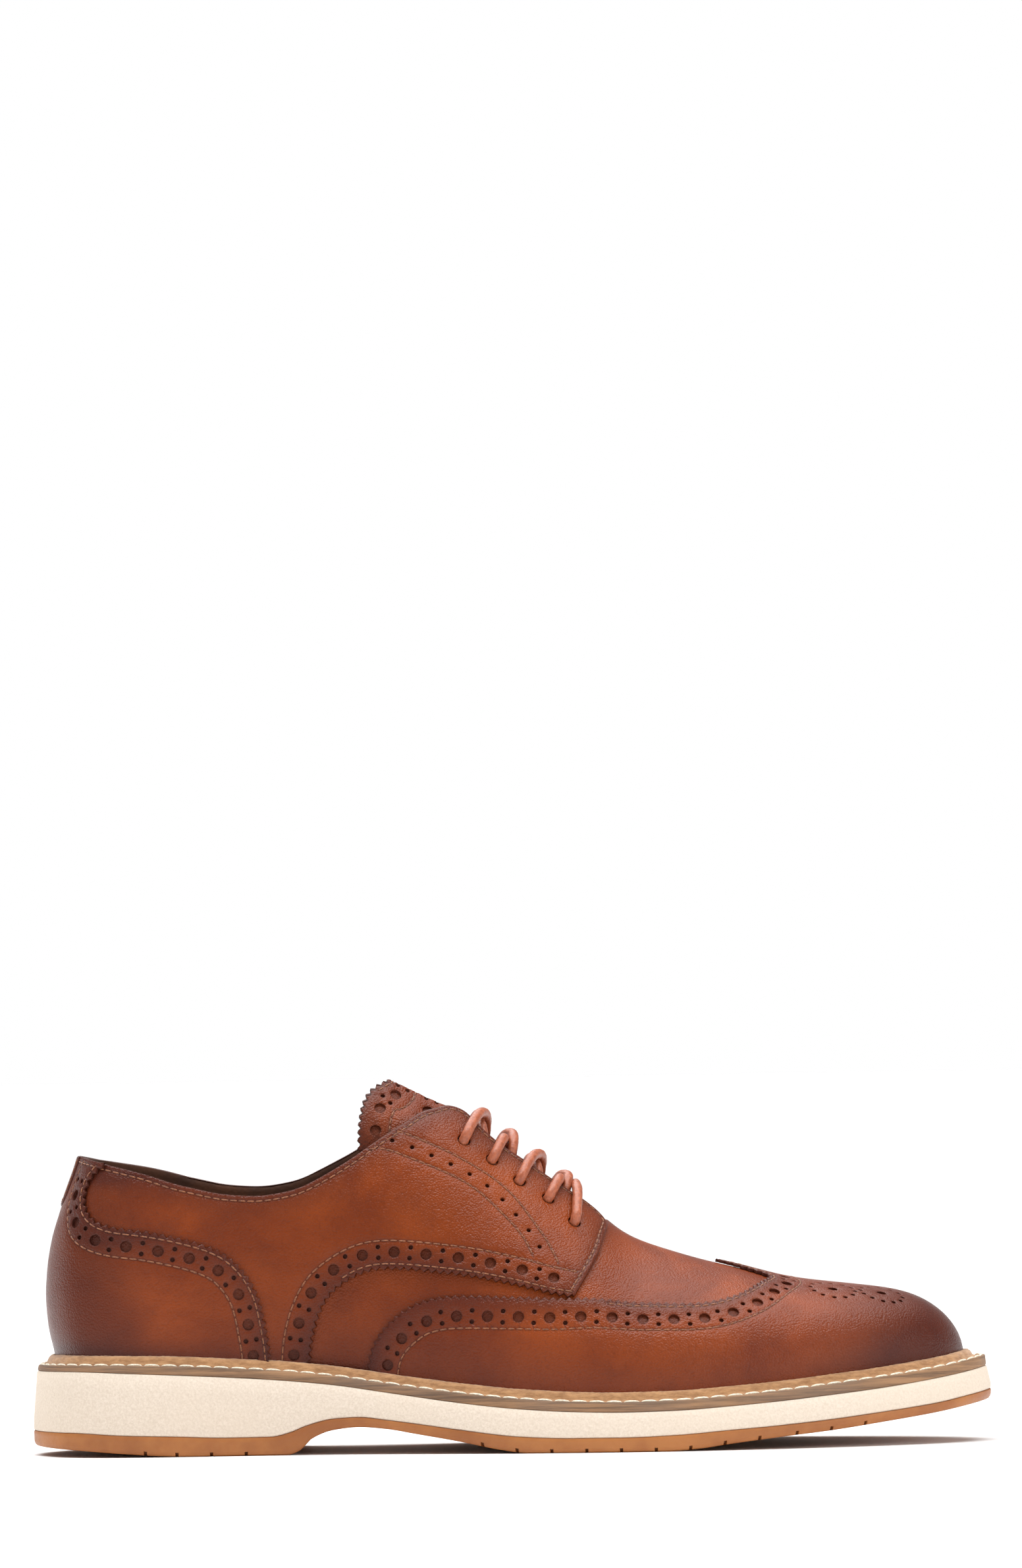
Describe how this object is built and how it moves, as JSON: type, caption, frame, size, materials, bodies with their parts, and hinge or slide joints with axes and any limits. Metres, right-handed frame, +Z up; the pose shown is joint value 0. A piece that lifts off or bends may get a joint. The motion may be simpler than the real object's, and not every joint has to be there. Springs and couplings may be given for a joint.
{
  "type": "leather derby shoe",
  "caption": "Right lace-up wingtip brogue shoe: leather upper on a welted foam and rubber sole, with tongue, stiffeners, inner layers and a laced closure.",
  "frame": {"origin": "on the ground, under the centre of the shoe's plan box", "axes": "+X towards the toe, +Y towards the medial (inner) side, +Z up; a right shoe"},
  "size_m": [0.3077, 0.1076, 0.1194],
  "materials": {
    "cognac_leather": "semi-gloss pebbled calf",
    "burnished_leather": "semi-gloss, darker burnish",
    "lining_leather": "matt",
    "welt_leather": "matt, fuzzy edge",
    "stacked_leather": "streaky, satin",
    "gum_rubber": "satin",
    "midsole_foam": "matt moulded foam",
    "cork": "granular",
    "board": "fibre board",
    "footbed_foam": "soft foam",
    "shank_steel": "plain",
    "lace_cotton": "waxed round cotton",
    "aglet_film": "smooth"
  },
  "bodies": {
    "rear": {"outsole_rear": "gum_rubber", "midsole_rear": "midsole_foam", "welt_band_rear": "stacked_leather", "storm_welt_rear": "welt_leather", "cork_filler_rear": "cork", "shank": "shank_steel", "insole_board_rear": "board", "footbed_rear": "footbed_foam", "sock_lining_rear": "lining_leather", "vamp": "cognac_leather", "wingtip": "burnished_leather", "vamp_lining": "lining_leather", "quarter_lateral": "cognac_leather", "quarter_medial": "cognac_leather", "quarter_lining_lateral": "lining_leather", "quarter_lining_medial": "lining_leather", "heel_foxing": "burnished_leather", "back_tab": "burnished_leather", "heel_counter": "board", "lace": "lace_cotton", "aglet_lateral": "aglet_film", "aglet_medial": "aglet_film"},
    "forefoot": {"outsole_forefoot": "gum_rubber", "midsole_forefoot": "midsole_foam", "welt_band_forefoot": "stacked_leather", "storm_welt_forefoot": "welt_leather", "cork_filler_forefoot": "cork", "insole_board_forefoot": "board", "footbed_forefoot": "footbed_foam", "sock_lining_forefoot": "lining_leather", "toe_puff": "board"},
    "tongue": {"tongue": "cognac_leather", "tongue_overlay": "burnished_leather", "tongue_lining": "lining_leather"}
  },
  "joints": [
    {"name": "ball_flex", "type": "hinge", "parent": "rear", "child": "forefoot", "pos_m": [0.049, 0.0014, 0.0226], "axis": [0, -1, 0], "range_deg": [0, 35], "stiffness_Nm_per_rad": 8, "deforming": ["vamp", "wingtip", "vamp_lining"]},
    {"name": "tongue_tilt", "type": "hinge", "parent": "rear", "child": "tongue", "pos_m": [0.033, 0.0014, 0.062], "axis": [0, 1, 0], "range_deg": [-10, 0], "stiffness_Nm_per_rad": 0.6}
  ]
}
